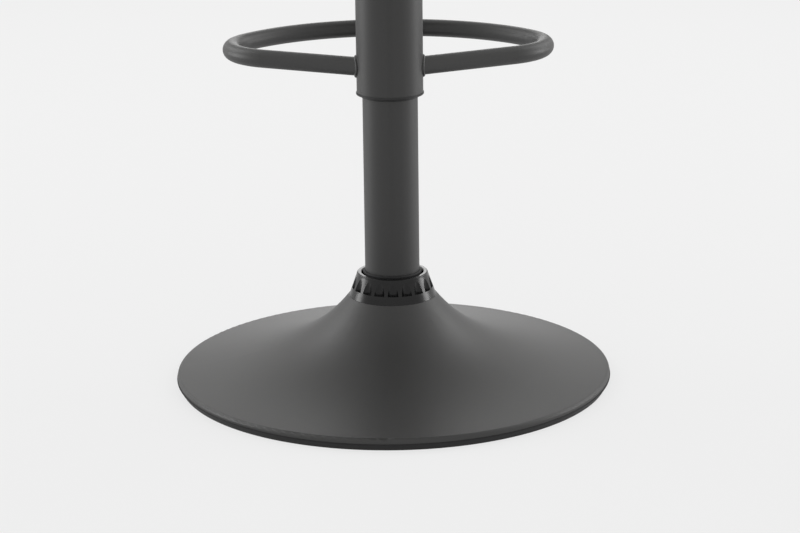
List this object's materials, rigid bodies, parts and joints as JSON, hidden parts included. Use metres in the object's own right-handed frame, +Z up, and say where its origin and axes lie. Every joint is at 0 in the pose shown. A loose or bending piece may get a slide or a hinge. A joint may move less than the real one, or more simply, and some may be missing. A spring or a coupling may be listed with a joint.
{
  "type": "bar stool",
  "caption": "Height-adjustable swivel bar stool on a trumpet foot, with a sleeve-mounted foot ring, padded seat and low curved backrest.",
  "frame": {"origin": "on the floor under the column's axis, at the centre of the foot", "axes": "+Z up the column, -Y the way the sitter faces and the foot ring points, +X to the sitter's left"},
  "size_m": [0.4019, 0.4117, 0.9476],
  "materials": {
    "powder_coat": "matte black powder coat with a very fine texture",
    "rim_rubber": "black rubber, dull",
    "collar_plastic": "black moulded plastic, semi-gloss",
    "bush_plastic": "black moulded plastic, matte",
    "grip_plastic": "black moulded plastic, matte",
    "plain_steel": "bare steel, satin",
    "zinc_steel": "zinc-plated steel, satin",
    "black_screws": "black oxide, satin",
    "lever_paint": "black enamel, semi-gloss",
    "rod_chrome": "hard chrome, polished",
    "seat_leather": "black imitation leather with a fine grain, soft sheen",
    "panel_leather": "black imitation leather with a fine grain, soft sheen",
    "pad_foam": "open-cell foam",
    "plywood": "birch plywood, raw",
    "dust_cloth": "black non-woven cloth, matte"
  },
  "bodies": {
    "base": {"base_shell": "powder_coat", "base_edge_ring": "rim_rubber", "ballast_plate": "plain_steel", "base_hub": "plain_steel", "column_tube": "powder_coat", "column_end_cap": "plain_steel", "column_guide": "bush_plastic", "collar": "collar_plastic", "collar_seal": "rim_rubber", "lower_race": "plain_steel"},
    "spindle": {"piston_rod": "rod_chrome", "rod_clip": "plain_steel", "bearing_balls": "plain_steel", "bearing_cage": "bush_plastic", "upper_race": "plain_steel", "bump_stop": "rim_rubber", "piston": "plain_steel"},
    "upper": {"gas_cylinder": "lever_paint", "cylinder_gland": "plain_steel", "cylinder_valve": "plain_steel", "sleeve_tube": "powder_coat", "sleeve_cap": "bush_plastic", "sleeve_bush": "bush_plastic", "foot_ring": "powder_coat", "foot_ring_welds": "powder_coat", "seat_plate": "powder_coat", "plate_socket": "plain_steel", "lever_bracket": "plain_steel", "lever_pivot_pin": "zinc_steel", "seat_bolts": "black_screws", "bolt_washers": "zinc_steel", "t_nuts": "zinc_steel", "seat_board": "plywood", "dust_cover": "dust_cloth", "seat_foam": "pad_foam", "seat_cover": "seat_leather", "back_spine": "powder_coat", "spine_seat_screws": "black_screws", "back_screws": "black_screws", "back_panel": "panel_leather", "back_board": "plywood", "back_foam": "pad_foam", "back_cover": "seat_leather"},
    "lever": {"lever_rod": "lever_paint", "lever_grip": "grip_plastic"},
    "release_button": {"release_pin": "rod_chrome"}
  },
  "joints": [
    {"name": "seat_swivel", "type": "hinge", "parent": "base", "child": "spindle", "pos_m": [0, 0, 0.022], "axis": [0, 0, 1], "continuous": true},
    {"name": "seat_height", "type": "slide", "parent": "spindle", "child": "upper", "axis": [0, 0, 1], "range_m": [-0.15, 0.06]},
    {"name": "lever_lift", "type": "hinge", "parent": "upper", "child": "lever", "pos_m": [-0.045, 0, 0.66], "axis": [0, 1, 0], "range_deg": [0, 4.5], "stiffness_Nm_per_rad": 2, "springref_deg": -2.86},
    {"name": "valve_pin", "type": "slide", "parent": "upper", "child": "release_button", "axis": [0, 0, -1], "range_m": [0, 0.0036]}
  ],
  "couplings": [
    {"joint": "valve_pin", "follows": "lever_lift", "m_per_rad": 0.045}
  ]
}
